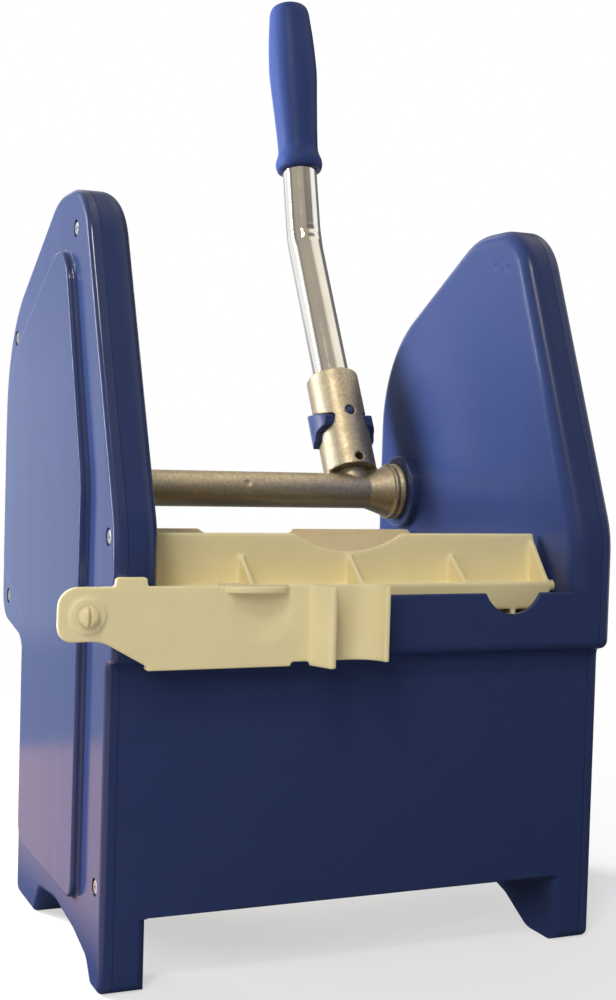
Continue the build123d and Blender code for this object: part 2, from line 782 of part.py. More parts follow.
# Pinions on the squared ends of the lever shaft, each held by a washer and a bolt
with BuildPart() as pinion:
    with BuildSketch(Plane.YZ.offset(gear_x)):
        with Locations((shaft_y, shaft_high)):
            add(gear_face(pinion_teeth, pinion_phase))
    extrude(amount=gear_wide)
    with BuildSketch(Plane.YZ.offset(hub_x)):
        with Locations((shaft_y, shaft_high)):
            Circle(hub_r)
    extrude(amount=hub_end - hub_x)
    with BuildSketch(Plane.YZ.offset(hub_x)):
        with Locations((shaft_y, shaft_high)):
            Rectangle(square_end + slack, square_end + slack)
    extrude(amount=hub_end - hub_x, mode=Mode.SUBTRACT)
save_pair(pinion.part, "pinion")


def end_washers(name, y, z, bolt_r):
    """A washer on the hub at each end of a shaft."""
    with BuildPart() as washers:
        with BuildSketch(Plane.YZ.offset(hub_end)):
            with Locations((y, z)):
                Circle(3 * bolt_r)
                Circle(bolt_r + slack, mode=Mode.SUBTRACT)
        extrude(amount=washer_thick)
        mirror(about=Plane.YZ)
    save(washers.part, name)


def end_bolts(name, y, z, bolt_r):
    """A hexagon bolt over the washer at each end of a shaft."""
    with BuildPart() as bolts:
        with BuildSketch(Plane.YZ.offset(hub_end + washer_thick)):
            with Locations((y, z)):
                RegularPolygon(1.8 * bolt_r, 6)
        extrude(amount=1.2 * bolt_r)
        with BuildSketch(Plane.YZ.offset(hub_end + washer_thick)):
            with Locations((y, z)):
                Circle(bolt_r)
        extrude(amount=-bolt_deep)
        mirror(about=Plane.YZ)
    save(bolts.part, name)


end_washers("pinion_washers", shaft_y, shaft_high, pinion_bolt_r)
end_bolts("pinion_bolts", shaft_y, shaft_high, pinion_bolt_r)

# Idlers and their fixed axles
with BuildPart() as idler:
    with BuildSketch(Plane.YZ.offset(gear_x)):
        with Locations((idler_y, idler_z)):
            add(gear_face(idler_teeth, idler_phase))
    extrude(amount=gear_wide)
    with BuildSketch(Plane.YZ.offset(hub_x)):
        with Locations((idler_y, idler_z)):
            Circle(hub_r)
    extrude(amount=hub_end - hub_x)
    with BuildSketch(Plane.YZ.offset(hub_x)):
        with Locations((idler_y, idler_z)):
            Circle(axle_r + running)
    extrude(amount=hub_end - hub_x, mode=Mode.SUBTRACT)
save_pair(idler.part, "idler")

with BuildPart() as idler_axles:
    with BuildSketch(Plane.YZ.offset(axle_x)):
        with Locations((idler_y, idler_z)):
            Circle(axle_r)
    extrude(amount=axle_end - axle_x)
    mirror(about=Plane.YZ)
save(idler_axles.part, "idler_axles")

# Sectors: toothed quadrants on the squared ends of the jaw shaft
sector_middle = (sector_from + sector_to) / 2
with BuildPart() as sector:
    with BuildSketch(Plane.YZ.offset(gear_x)):
        with Locations((pivot_y, pivot_high)):
            add(gear_face(sector_teeth, sector_phase))
        with BuildLine():
            Polyline(
                from_pivot(0, sector_from, hub_r),
                from_pivot(sector_tip, sector_from),
                from_pivot(1.2 * sector_tip, sector_middle),
                from_pivot(sector_tip, sector_to),
                from_pivot(0, sector_to, -hub_r),
                close=True,
            )
        make_face(mode=Mode.INTERSECT)
        with Locations((pivot_y, pivot_high)):
            Circle(hub_r)
        with Locations(from_pivot(0.65 * sector_pitch, sector_middle)):
            Circle(sector_pitch / 7, mode=Mode.SUBTRACT)
    extrude(amount=gear_wide)
    with BuildSketch(Plane.YZ.offset(hub_x)):
        with Locations((pivot_y, pivot_high)):
            Circle(hub_r)
    extrude(amount=hub_end - hub_x)
    with BuildSketch(Plane.YZ.offset(hub_x)):
        with Locations((pivot_y, pivot_high)):
            Rectangle(jaw_square + slack, jaw_square + slack)
    extrude(amount=hub_end - hub_x, mode=Mode.SUBTRACT)
save_pair(sector.part, "sector")
end_washers("sector_washers", pivot_y, pivot_high, sector_bolt_r)
end_bolts("sector_bolts", pivot_y, pivot_high, sector_bolt_r)

# Jaw shaft and its bushes
with BuildPart() as jaw_shaft:
    with BuildSketch(Plane.YZ):
        with Locations((pivot_y, pivot_high)):
            Circle(jaw_shaft_r)
    extrude(amount=journal_end)
    with BuildSketch(Plane.YZ.offset(journal_end)):
        with Locations((pivot_y, pivot_high)):
            Rectangle(jaw_square, jaw_square)
    extrude(amount=hub_end - apart - journal_end)
    with BuildSketch(Plane.YZ.offset(hub_end - apart)):
        with Locations((pivot_y, pivot_high)):
            Circle(sector_bolt_r + slack)
    extrude(amount=-bolt_deep, mode=Mode.SUBTRACT)
    mirror(about=Plane.YZ)
save(jaw_shaft.part, "jaw_shaft")

with BuildPart() as jaw_bush:
    with BuildSketch(Plane.YZ.offset(inner_x)):
        with Locations((pivot_y, pivot_high)):
            Circle(jaw_bush_r + wall)
    extrude(amount=-(inner_x - jaw_half - apart))
    with BuildSketch(Plane.YZ.offset(inner_x)):
        with Locations((pivot_y, pivot_high)):
            Circle(jaw_bush_r - slack / 2)
    extrude(amount=wall + bush_stand)
    with BuildSketch(Plane.YZ.offset(jaw_half)):
        with Locations((pivot_y, pivot_high)):
            Circle(jaw_shaft_r + running)
    extrude(amount=seam_x - jaw_half, mode=Mode.SUBTRACT)
save_pair(jaw_bush.part, "jaw_bush")

# Rear jaw: a press plate that leans back at rest, ribbed behind, on a hub along its foot
jaw_angle = radians(jaw_lean)
jaw_origin = (0, pivot_y, pivot_high)
jaw_face = Plane(origin=jaw_origin, x_dir=(1, 0, 0), z_dir=(0, -cos(jaw_angle), sin(jaw_angle)))
jaw_profile = Plane(origin=jaw_origin, x_dir=(0, cos(jaw_angle), -sin(jaw_angle)), z_dir=(1, 0, 0))
with BuildPart() as rear_jaw:
    with BuildSketch(jaw_face):
        with BuildLine():
            FilletPolyline(
                (0, 0),
                (jaw_half, 0),
                (jaw_half, jaw_long),
                (jaw_notch_half + jaw_chamfer, jaw_long),
                (jaw_notch_half, jaw_long - jaw_chamfer),
                (jaw_notch_half, jaw_long - jaw_notch_deep),
                (0, jaw_long - jaw_notch_deep),
                radius=[0, 0, edge_round, edge_round, edge_round, 2 * jaw_chamfer, 0],
                close=True,
            )
        make_face()
        mirror(about=Plane.YZ)
        with Locations((0, 0.42 * jaw_long)):
            with GridLocations(drain_pitch, drain_long, drains, drain_rows):
                SlotOverall(drain_long, drain_wide, mode=Mode.SUBTRACT)
    extrude(amount=jaw_thick / 2, both=True)
    for rib in range(drains + 1):
        rib_x = (rib - drains / 2) * drain_pitch
        with BuildSketch(jaw_profile.offset(rib_x - gusset_thick / 2)):
            with BuildLine():
                Polyline(
                    (0, 0),
                    (jaw_rib_deep, 0),
                    (jaw_rib_deep, 0.3 * jaw_long),
                    (0, 0.85 * jaw_long),
                    close=True,
                )
            make_face()
        extrude(amount=gusset_thick)
    with BuildSketch(Plane.YZ.offset(-jaw_half)):
        with Locations((pivot_y, pivot_high)):
            Circle(jaw_hub_r)
    extrude(amount=2 * jaw_half)
    with BuildSketch(Plane.YZ.offset(-jaw_half)):
        with Locations((pivot_y, pivot_high)):
            Circle(jaw_shaft_r + slack / 2)
    extrude(amount=2 * jaw_half, mode=Mode.SUBTRACT)
    with BuildSketch(jaw_face):
        with Locations(*set_screw_points):
            Circle(set_screw_r + slack / 2)
    extrude(amount=-2 * jaw_hub_r, mode=Mode.SUBTRACT)
save(rear_jaw.part, "rear_jaw")

with BuildPart() as jaw_set_screws:
    with BuildSketch(jaw_face.offset(-jaw_shaft_r - slack / 2)):
        with Locations(*set_screw_points):
            Circle(set_screw_r)
            RegularPolygon(set_screw_r / 2, 6, mode=Mode.SUBTRACT)
    extrude(amount=-(jaw_hub_r - jaw_shaft_r - apart))
save(jaw_set_screws.part, "jaw_set_screws")

# Front plate: upright press face, sloping floor, ledge with a lip, gussets and bearing ribs
plate_y = front + plate_back
plate_mid = plate_y + plate_thick / 2
lip_y = front + lip_back
floor_end = from_pivot(jaw_hub_r + wall, radians(145))
gussets = [(place * gusset_pitch, plate_high - gusset_drop) for place in (-1, 0, 1)]
gussets += [(side * (plate_half - gusset_thick / 2), plate_high - edge_round) for side in (-1, 1)]
scallop_r = (scallop_half**2 + scallop_deep**2) / (2 * scallop_deep)
with BuildPart() as front_plate:
    with BuildSketch(Plane.YZ.offset(-plate_half)) as plate_section:
        with BuildLine():
            Polyline((plate_mid, plate_high), (plate_mid, plate_foot), floor_end)
        trace(line_width=plate_thick)
        with Locations((lip_y, ledge_high)):
            Rectangle(plate_y + plate_thick - lip_y, gusset_thick, align=(Align.MIN, Align.MAX))
        with Locations((lip_y, lip_high)):
            Rectangle(gusset_thick, lip_tall, align=(Align.MIN, Align.MAX))
        edges_up = plate_section.vertices().sort_by(Axis.Y)[-4:]
        fillet(edges_up, radius=wall_round)
    extrude(amount=2 * plate_half)
    for rib_x, rib_top in gussets:
        with BuildSketch(Plane.YZ.offset(rib_x - gusset_thick / 2)):
            with BuildLine():
                Polyline(
                    (plate_y + bite, rib_top),
                    (lip_y + bite, lip_high),
                    (lip_y + bite, ledge_high - bite),
                    (plate_y + bite, ledge_high - bite),
                    close=True,
                )
            make_face()
        extrude(amount=gusset_thick)
    for rib in range(bearing_ribs):
        rib_x = (rib - (bearing_ribs - 1) / 2) * bearing_pitch
        with BuildSketch(Plane.YZ.offset(rib_x - gusset_thick / 2)):
            with BuildLine():
                Polyline(
                    (plate_y + bite, ledge_high - bite),
                    (lip_y + gusset_thick, ledge_high - bite),
                    (front + wall, bearing_top),
                    (front + wall, bearing_low),
                    (plate_y + bite, plate_foot + plate_thick),
                    close=True,
                )
            make_face()
        extrude(amount=gusset_thick)
    with BuildSketch(Plane.XZ.offset(-plate_y - plate_thick)):
        with Locations((0, plate_high - scallop_deep + scallop_r)):
            Circle(scallop_r)
    extrude(amount=2 * plate_thick, mode=Mode.SUBTRACT)
    with BuildSketch(Plane.XY.offset(pivot_high)):
        with Locations((0, (plate_y + floor_end[0]) / 2)):
            with GridLocations(drain_pitch, 1, drains, 1):
                SlotOverall(drain_long, drain_wide)
    extrude(amount=plate_foot - pivot_high, mode=Mode.SUBTRACT)
    # Trunnions in the cheek walls
    for side in (-1, 1):
        with BuildSketch(Plane.YZ.offset(side * plate_half)):
            with Locations((lip_y + trunnion_r, ledge_high)):
                Circle(trunnion_r)
        extrude(amount=side * (wall_x - plate_half))
save(front_plate.part, "front_plate")

# Latch arm: hung on the snap pin, with a hook over the rim, a thumb ledge, a fin and a flared end
latch_y = front + latch_front
latch_mid = latch_y + latch_thick / 2
rim_inner = band_front + wall
flange_z = latch_low + flange_thick
latch_outline = [
    (latch_x - latch_left, latch_top, latch_hub_r),
    (fin_x, latch_top, 0),
    (fin_x, flange_z, 0),
    (latch_x + latch_slant, flange_z, 6),
    (latch_x + latch_slant / 4, latch_z - latch_end_drop, 20),
    (latch_x - latch_left, latch_z - latch_end_drop, 8),
]
hub_back = band_front - apart - latch_y
boss_y = latch_y - boss_rise
with BuildPart() as latch_arm:
    with BuildSketch(Plane.XZ.offset(-latch_y)):
        add(rounded_face(latch_outline))
        with Locations((latch_x + tab_at, latch_top)):
            RectangleRounded(tab_wide, 2 * tab_rise, edge_round)
    extrude(amount=-latch_thick)
    with Locations((ledge_x + dish_shift, latch_y - dish_r + dish_deep, latch_top - dish_drop)):
        Sphere(dish_r, mode=Mode.SUBTRACT)
    with BuildSketch(Plane.XZ.offset(-latch_y)):
        with Locations((latch_x, latch_z)):
            Circle(latch_hub_r)
    extrude(amount=-hub_back)
    with BuildSketch(Plane.XZ.offset(-latch_y)):
        with Locations((latch_x, latch_z)):
            Circle(latch_hub_r - boss_rise)
    extrude(amount=boss_rise)
    # Flange along the lower edge
    with BuildSketch(Plane.XY.offset(latch_low)):
        with Locations((latch_x + latch_slant, latch_y)):
            Rectangle(fin_at - fin_out - latch_slant, hub_back, align=(Align.MIN, Align.MIN))
    extrude(amount=flange_thick)
    # Thumb ledge
    with BuildSketch(Plane.XY.offset(latch_top - ledge_thick)):
        with Locations((ledge_x, latch_y)):
            Ellipse(ledge_wide / 2, ledge_out)
            Rectangle(ledge_wide, 2 * ledge_out, align=(Align.CENTER, Align.MAX), mode=Mode.INTERSECT)
    extrude(amount=ledge_thick)
    # Hook over the rim, in the left finger notch
    with BuildSketch(Plane.YZ.offset(-notch_x - hook_wide / 2)):
        with BuildLine():
            Polyline(
                (latch_mid, latch_top),
                (rim_inner + hook_gap + hook_thick, latch_top),
                (rim_inner + hook_gap + hook_thick, rim_high - hook_drop),
                (rim_inner + hook_gap, rim_high - hook_drop),
                (rim_inner + hook_gap, rim_high + hook_gap),
                (latch_mid, rim_high + hook_gap),
                close=True,
            )
        make_face()
    extrude(amount=hook_wide)
    # Springy tongue with a flared end, and the grip fin before it
    with BuildSketch(Plane.XY.offset(flange_z)):
        with BuildLine():
            run = Line((fin_x, latch_mid), (latch_end - flare, latch_mid))
            ThreePointArc(
                run @ 1,
                (latch_end - 0.3 * flare, latch_mid - 0.3 * flare_out),
                (latch_end, latch_mid - flare_out),
            )
        trace(line_width=gusset_thick)
    extrude(amount=latch_top - flange_z)
    with BuildSketch(Plane.XY.offset(latch_low)):
        with BuildLine():
            fin_tip = (fin_x + 0.8 * fin_thick, latch_mid - fin_out)
            fin_foot = (fin_x - 0.4 * fin_thick, latch_mid)
            fin_waist = (fin_x + 0.2 * fin_thick, latch_mid - fin_out / 2)
            Spline(fin_foot, fin_waist, fin_tip)
        trace(line_width=fin_thick)
        with Locations(fin_tip):
            Circle(fin_thick / 2)
    extrude(amount=latch_top - latch_low)
    with BuildSketch(Plane.XZ.offset(-boss_y)):
        with Locations((latch_x, latch_z)):
            Circle(latch_pin_r + running)
    extrude(amount=-hub_back - boss_rise, mode=Mode.SUBTRACT)
save(latch_arm.part, "latch_arm")

# Snap pin of the latch: slotted domed head, shank fixed in the lug
head_y = boss_y - apart
with BuildPart() as latch_pin:
    with BuildSketch(Plane.XZ.offset(-head_y)):
        with Locations((latch_x, latch_z)):
            Circle(1.3 * latch_pin_r)
    extrude(amount=latch_pin_r)
    fillet(latch_pin.faces().sort_by(Axis.Y)[0].edges(), radius=0.9 * latch_pin_r)
    with BuildSketch(Plane.XZ.offset(-head_y)):
        with Locations((latch_x, latch_z)):
            Circle(latch_pin_r)
    extrude(amount=head_y - band_front - lug_deep)
    with BuildSketch(Plane.XZ.offset(-head_y + latch_pin_r)):
        with Locations((latch_x, latch_z)):
            Rectangle(latch_pin_r / 3, 4 * latch_pin_r)
    extrude(amount=-latch_pin_r * 2 / 3, mode=Mode.SUBTRACT)
save(latch_pin.part, "latch_pin")
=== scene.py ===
"""Looks of the mop wringer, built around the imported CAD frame, in metres."""

import json
from math import cos, exp, pi, radians, sin, tan

import bmesh
import bpy
from mathutils import Matrix, Vector


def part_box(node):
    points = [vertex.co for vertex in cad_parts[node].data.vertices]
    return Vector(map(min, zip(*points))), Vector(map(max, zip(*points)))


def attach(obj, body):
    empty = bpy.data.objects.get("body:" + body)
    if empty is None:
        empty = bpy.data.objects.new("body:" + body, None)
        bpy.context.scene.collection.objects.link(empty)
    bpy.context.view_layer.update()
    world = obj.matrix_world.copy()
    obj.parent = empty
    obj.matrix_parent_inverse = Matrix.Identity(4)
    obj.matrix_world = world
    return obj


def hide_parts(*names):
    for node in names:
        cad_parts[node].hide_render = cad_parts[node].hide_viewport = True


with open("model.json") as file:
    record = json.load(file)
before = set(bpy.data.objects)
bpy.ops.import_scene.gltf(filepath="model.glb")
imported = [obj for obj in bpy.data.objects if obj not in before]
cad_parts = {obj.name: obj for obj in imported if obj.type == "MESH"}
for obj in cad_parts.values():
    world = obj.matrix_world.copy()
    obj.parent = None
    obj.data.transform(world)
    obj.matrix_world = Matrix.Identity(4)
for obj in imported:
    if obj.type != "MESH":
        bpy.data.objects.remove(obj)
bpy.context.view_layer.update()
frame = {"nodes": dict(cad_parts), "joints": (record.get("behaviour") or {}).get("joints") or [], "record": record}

nodes = frame["nodes"]
joints = {joint["name"]: joint for joint in frame["joints"]}
scene = bpy.context.scene
scene.view_settings.view_transform = "Standard"
mm = 0.001

# Lever: its two straight runs, from the shaft axis up
shaft_at = Vector(joints["lever_swing"]["pos_m"])
lean = radians(29.5)
grip_lean = radians(13.5)
lever_x = sum(corner.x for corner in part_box("lever_grip")) / 2
lever_foot = Vector((lever_x, shaft_at.y, shaft_at.z))
lower_run = Vector((0, sin(lean), cos(lean)))
upper_run = Vector((0, sin(grip_lean), cos(grip_lean)))
across = Vector((1, 0, 0))
bend_up = 228 * mm
bend_at = lever_foot + bend_up * lower_run
tube_r = 14 * mm
grip_low = 59.7 * mm
grip_long = 145 * mm
grip_end = 10 * mm


# Shapes

round_steps = 96


def shade(mesh):
    """Smooth faces, with a crease wherever two of them meet sharply."""
    mesh.shade_smooth()
    mesh.set_sharp_from_angle(angle=radians(35))


def from_shape(name, shape):
    """A new object from a bmesh."""
    mesh = bpy.data.meshes.new(name)
    bmesh.ops.recalc_face_normals(shape, faces=shape.faces)
    shape.to_mesh(mesh)
    shape.free()
    shade(mesh)
    piece = bpy.data.objects.new(name, mesh)
    scene.collection.objects.link(piece)
    return piece


def soft_copy(node, name, voxel, rounds, keep=1.0):
    """A copy of a CAD node with its edges and inner corners softened, as a casting or moulding has them."""
    piece = bpy.data.objects.new(name, nodes[node].data.copy())
    scene.collection.objects.link(piece)
    weld = piece.modifiers.new("weld", "WELD")
    weld.merge_threshold = 0.002 * mm
    remesh = piece.modifiers.new("remesh", "REMESH")
    remesh.mode = "VOXEL"
    remesh.voxel_size = voxel
    smooth = piece.modifiers.new("smooth", "SMOOTH")
    smooth.factor = 0.5
    smooth.iterations = rounds
    thin = piece.modifiers.new("thin", "DECIMATE")
    thin.ratio = keep
    graph = bpy.context.evaluated_depsgraph_get()
    piece.data = bpy.data.meshes.new_from_object(piece.evaluated_get(graph))
    piece.modifiers.clear()
    shade(piece.data)
    return piece


def dent(piece, centre, radius, depth, facing):
    """Presses a round shallow mark into the side of a mesh that faces a given way."""
    for vertex in piece.data.vertices:
        near = (vertex.co - centre).length / radius
        if near < 1 and vertex.normal.dot(facing) > 0.5:
            vertex.co -= depth * (1 - near**2) ** 2 * vertex.normal


def eased(a, b, c, d, t):
    """A number part of the way from b to c, on a smooth curve that comes from a and goes on to d."""
    bend = 2 * a - 5 * b + 4 * c - d
    twist = 3 * b - a - 3 * c + d
    return 0.5 * (2 * b + (c - a) * t + bend * t**2 + twist * t**3)


def smooth_line(points, per_span):
    """Points on a smooth line through a few given points."""
    line = []
    padded = [points[0], *points, points[-1]]
    for before, start, end, after in zip(padded, padded[1:], padded[2:], padded[3:]):
        for step in range(per_span):
            share = step / per_span
            line.append(tuple(eased(*run, share) for run in zip(before, start, end, after)))
    return [*line, points[-1]]


def lathe(name, profile, foot, axis):
    """A turned solid from (radius, height) points along an axis, the first and last of them on it."""
    side = axis.orthogonal().normalized()
    other = axis.cross(side)
    shape = bmesh.new()
    turn = [2 * pi * step / round_steps for step in range(round_steps)]
    first = shape.verts.new(foot + profile[0][1] * axis)
    last = shape.verts.new(foot + profile[-1][1] * axis)
    rings = [
        [shape.verts.new(foot + height * axis + radius * (cos(a) * side + sin(a) * other)) for a in turn]
        for radius, height in profile[1:-1]
    ]
    for step in range(round_steps):
        shape.faces.new((first, rings[0][step - 1], rings[0][step]))
        shape.faces.new((last, rings[-1][step], rings[-1][step - 1]))
        for ring, after in zip(rings, rings[1:]):
            shape.faces.new((ring[step - 1], after[step - 1], after[step], ring[step]))
    return from_shape(name, shape)


# Materials

white = (1, 1, 1)


def new_material(name):
    """A node material with its tree and its shader."""
    material = bpy.data.materials.new(name)
    material.use_nodes = True
    return material, material.node_tree, material.node_tree.nodes["Principled BSDF"]


def noise(tree, scale, detail, stretch=(1, 1, 1)):
    """Noise fixed to the object, at a scale in cells a metre."""
    coords = tree.nodes.new("ShaderNodeTexCoord")
    place = tree.nodes.new("ShaderNodeMapping")
    place.inputs["Scale"].default_value = stretch
    texture = tree.nodes.new("ShaderNodeTexNoise")
    texture.inputs["Scale"].default_value = scale
    texture.inputs["Detail"].default_value = detail
    tree.links.new(coords.outputs["Object"], place.inputs["Vector"])
    tree.links.new(place.outputs["Vector"], texture.inputs["Vector"])
    return texture.outputs["Fac"]


def ramp(tree, value, *stops):
    """Runs through colours as a value rises, from (value, colour) stops."""
    node = tree.nodes.new("ShaderNodeValToRGB")
    elements = node.color_ramp.elements
    while len(elements) < len(stops):
        elements.new(1)
    for element, (position, colour) in zip(elements, stops):
        element.position = position
        element.color = (*colour, 1)
    tree.links.new(value, node.inputs["Fac"])
    return node.outputs["Color"]


def span(tree, value, low, high, start=0.3, end=0.7):
    """Runs from one number to another as a value rises."""
    node = tree.nodes.new("ShaderNodeMapRange")
    node.inputs["From Min"].default_value = start
    node.inputs["From Max"].default_value = end
    node.inputs["To Min"].default_value = low
    node.inputs["To Max"].default_value = high
    tree.links.new(value, node.inputs["Value"])
    return node.outputs["Result"]


def mixed(tree, share, first, second):
    """A colour between two others."""
    node = tree.nodes.new("ShaderNodeMixRGB")
    tree.links.new(share, node.inputs["Fac"])
    tree.links.new(first, node.inputs["Color1"])
    tree.links.new(second, node.inputs["Color2"])
    return node.outputs["Color"]


def mottled(tree, value, colour, depth):
    """A colour that is a little darker and paler by turns."""
    dark = tuple((1 - depth) * part for part in colour)
    pale = tuple((1 + depth) * part for part in colour)
    tint = ramp(tree, value, (0.25, dark), (0.75, pale))
    tint.node.color_ramp.interpolation = "EASE"
    return tint


def dimple(tree, centre, radius):
    """Height of a round hollow at a place on the object, rising from its middle to its edge."""
    coords = tree.nodes.new("ShaderNodeTexCoord")
    away = tree.nodes.new("ShaderNodeVectorMath")
    away.operation = "DISTANCE"
    away.inputs[1].default_value = centre
    tree.links.new(coords.outputs["Object"], away.inputs[0])
    return span(tree, away.outputs["Value"], 0, 1, 0, radius)


def bumps(tree, shader, *layers):
    """Stacks bump layers of (height, depth in metres) on a shader."""
    normal = None
    for height, depth in layers:
        node = tree.nodes.new("ShaderNodeBump")
        node.inputs["Distance"].default_value = depth
        tree.links.new(height, node.inputs["Height"])
        if normal is not None:
            tree.links.new(normal, node.inputs["Normal"])
        normal = node.outputs["Normal"]
    tree.links.new(normal, shader.inputs["Normal"])


def moulded(name, colour, gloss, shine=0.5, streaks=(1, 1, 1), tint=0.02, peel=0.02 * mm, hollows=()):
    """Moulded plastic: mottled colour, uneven gloss, a fine peel, a slow wave and sink marks."""
    material, tree, shader = new_material(name)
    colours = mottled(tree, noise(tree, 60, 1, streaks), colour, tint)
    tree.links.new(colours, shader.inputs["Base Color"])
    shader.inputs["Specular IOR Level"].default_value = shine
    dull = span(tree, noise(tree, 70, 1, streaks), *gloss)
    dull.node.interpolation_type = "SMOOTHSTEP"
    tree.links.new(dull, shader.inputs["Roughness"])
    wave = (noise(tree, 14, 1), 0.25 * mm)
    skin = (noise(tree, 700, 1), peel)
    sink_r = 3.5 * mm
    sink_deep = 0.5 * mm
    sinks = [(dimple(tree, centre, sink_r), sink_deep) for centre in hollows]
    bumps(tree, shader, wave, skin, *sinks)
    return material


def cast_metal(name, colour):
    """Unpolished casting: dull warm grey with a fine grain, and painted shade that darkens the sides that face
    down.
    """
    material, tree, shader = new_material(name)
    shader.inputs["Metallic"].default_value = 0.9
    tree.links.new(span(tree, noise(tree, 120, 4), 0.42, 0.56), shader.inputs["Roughness"])
    facing = tree.nodes.new("ShaderNodeNewGeometry")
    split = tree.nodes.new("ShaderNodeSeparateXYZ")
    tree.links.new(facing.outputs["Normal"], split.inputs["Vector"])
    upward = split.outputs["Z"]
    # Painted shade: the colour darkens on the sides that face down, standing in for the shade under the shaft and
    # socket.
    underside_shade = tuple(0.35 * part for part in colour)
    shaded_below = ramp(tree, upward, (0, underside_shade), (1, white))
    unshaded = mottled(tree, noise(tree, 450, 3), colour, 0.16)
    shaded_by_facing = mixed(tree, span(tree, upward, 0, 1, -0.7, 0.5), shaded_below, unshaded)
    tree.links.new(shaded_by_facing, shader.inputs["Base Color"])
    wave = (noise(tree, 90, 1), 0.08 * mm)
    grain = (noise(tree, 800, 2), 0.09 * mm)
    bumps(tree, shader, wave, grain)
    return material


def bright_metal(name, colour, gloss, marks):
    """Plated metal with faint smears."""
    material, tree, shader = new_material(name)
    shader.inputs["Metallic"].default_value = 1.0
    colours = mottled(tree, noise(tree, marks, 5), colour, 0.05)
    tree.links.new(colours, shader.inputs["Base Color"])
    tree.links.new(span(tree, noise(tree, 3 * marks, 4), *gloss), shader.inputs["Roughness"])
    return material


def waxy(material):
    """Lets light a little way into a pale plastic."""
    shader = material.node_tree.nodes["Principled BSDF"]
    shader.inputs["Subsurface Weight"].default_value = 0.12
    shader.inputs["Subsurface Radius"].default_value = (1.0, 0.8, 0.4)
    shader.inputs["Subsurface Scale"].default_value = 2 * mm
    return material


blue = (0.025, 0.041, 0.127)
upright = (1, 1, 0.05)  # stretches noise into upright streaks
cheek_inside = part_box("shaft_bush_right")[0].x + 7 * mm
sink_marks = [(cheek_inside, -6 * mm, 432 * mm), (cheek_inside, -21.6 * mm, 429.4 * mm)]
finishes = {
    "blue_shell": moulded("blue_shell", blue, (0.23, 0.26), 0.22, tint=0.015, hollows=sink_marks),
    "blue_cover": moulded("blue_cover", blue, (0.12, 0.17), streaks=upright),
    "blue_bush": moulded("blue_bush", (0.022, 0.036, 0.115), (0.22, 0.36)),
    "blue_grip": moulded("blue_grip", (0.034, 0.058, 0.190), (0.34, 0.42), 0.12, peel=0.03 * mm),
    "blue_clip": moulded("blue_clip", blue, (0.28, 0.38)),
    "cream": waxy(moulded("cream", (0.85, 0.75, 0.44), (0.36, 0.44), peel=0.01 * mm)),
    # The rear jaw is the same plastic as the cream parts. Its slightly darker, warmer copy is painted shade for
    # where it lies inside the hopper.
    "greyed_cream": waxy(moulded("greyed_cream", (0.86, 0.70, 0.40), (0.4, 0.5), peel=0.01 * mm)),
    "cast": cast_metal("cast", (0.67, 0.58, 0.41)),
    "chromed": bright_metal("chromed", (0.86, 0.84, 0.79), (0.05, 0.11), 30),
    "steel": bright_metal("steel", (0.88, 0.88, 0.87), (0.30, 0.42), 80),
    "gear": moulded("gear", (0.75, 0.73, 0.66), (0.4, 0.5)),
}
slot_of = {part["node"]: part["material_slot"] for part in frame["record"]["subparts"]}
bodies = frame["record"]["behaviour"]["bodies"]
body_of = {node: body for body, members in bodies.items() for node in members}


def dress(piece, node):
    """Gives a piece the finish of a CAD node."""
    piece.data.materials.clear()
    piece.data.materials.append(finishes[slot_of[node]])


def stand_in(piece, node):
    """A new piece takes the place, the motion and the finish of a CAD node."""
    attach(piece, body_of[node])
    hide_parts(node)
    dress(piece, node)


# Camera, fitted to the photograph's straight edges


def place_camera():
    """A camera from its place, turn, tilt and roll. The picture is 616 wide and 1000 high."""
    eye = Vector((-0.3829, -0.9054, 0.3103))
    yaw = radians(24.05)
    pitch = radians(2.35)
    roll = radians(1.72)
    forward = Vector((sin(yaw) * cos(pitch), cos(yaw) * cos(pitch), -sin(pitch)))
    level = Vector((cos(yaw), -sin(yaw), 0))
    rise = level.cross(forward)
    right = cos(roll) * level + sin(roll) * rise
    up = -sin(roll) * level + cos(roll) * rise
    data = bpy.data.cameras.new("camera")
    data.lens = 54.36
    data.sensor_width = 36
    data.shift_x = -0.0268
    data.shift_y = 0.0038
    camera = bpy.data.objects.new("camera", data)
    camera.matrix_world = Matrix(
        [
            (right.x, up.x, -forward.x, eye.x),
            (right.y, up.y, -forward.y, eye.y),
            (right.z, up.z, -forward.z, eye.z),
            (0, 0, 0, 1),
        ]
    )
    scene.collection.objects.link(camera)
    scene.camera = camera


# Studio


def picked(tree, share, otherwise, chosen):
    """One shader at 0 and another at 1, or some of both between."""
    node = tree.nodes.new("ShaderNodeMixShader")
    tree.links.new(share, node.inputs["Fac"])
    tree.links.new(otherwise, node.inputs[1])
    tree.links.new(chosen, node.inputs[2])
    return node.outputs["Shader"]


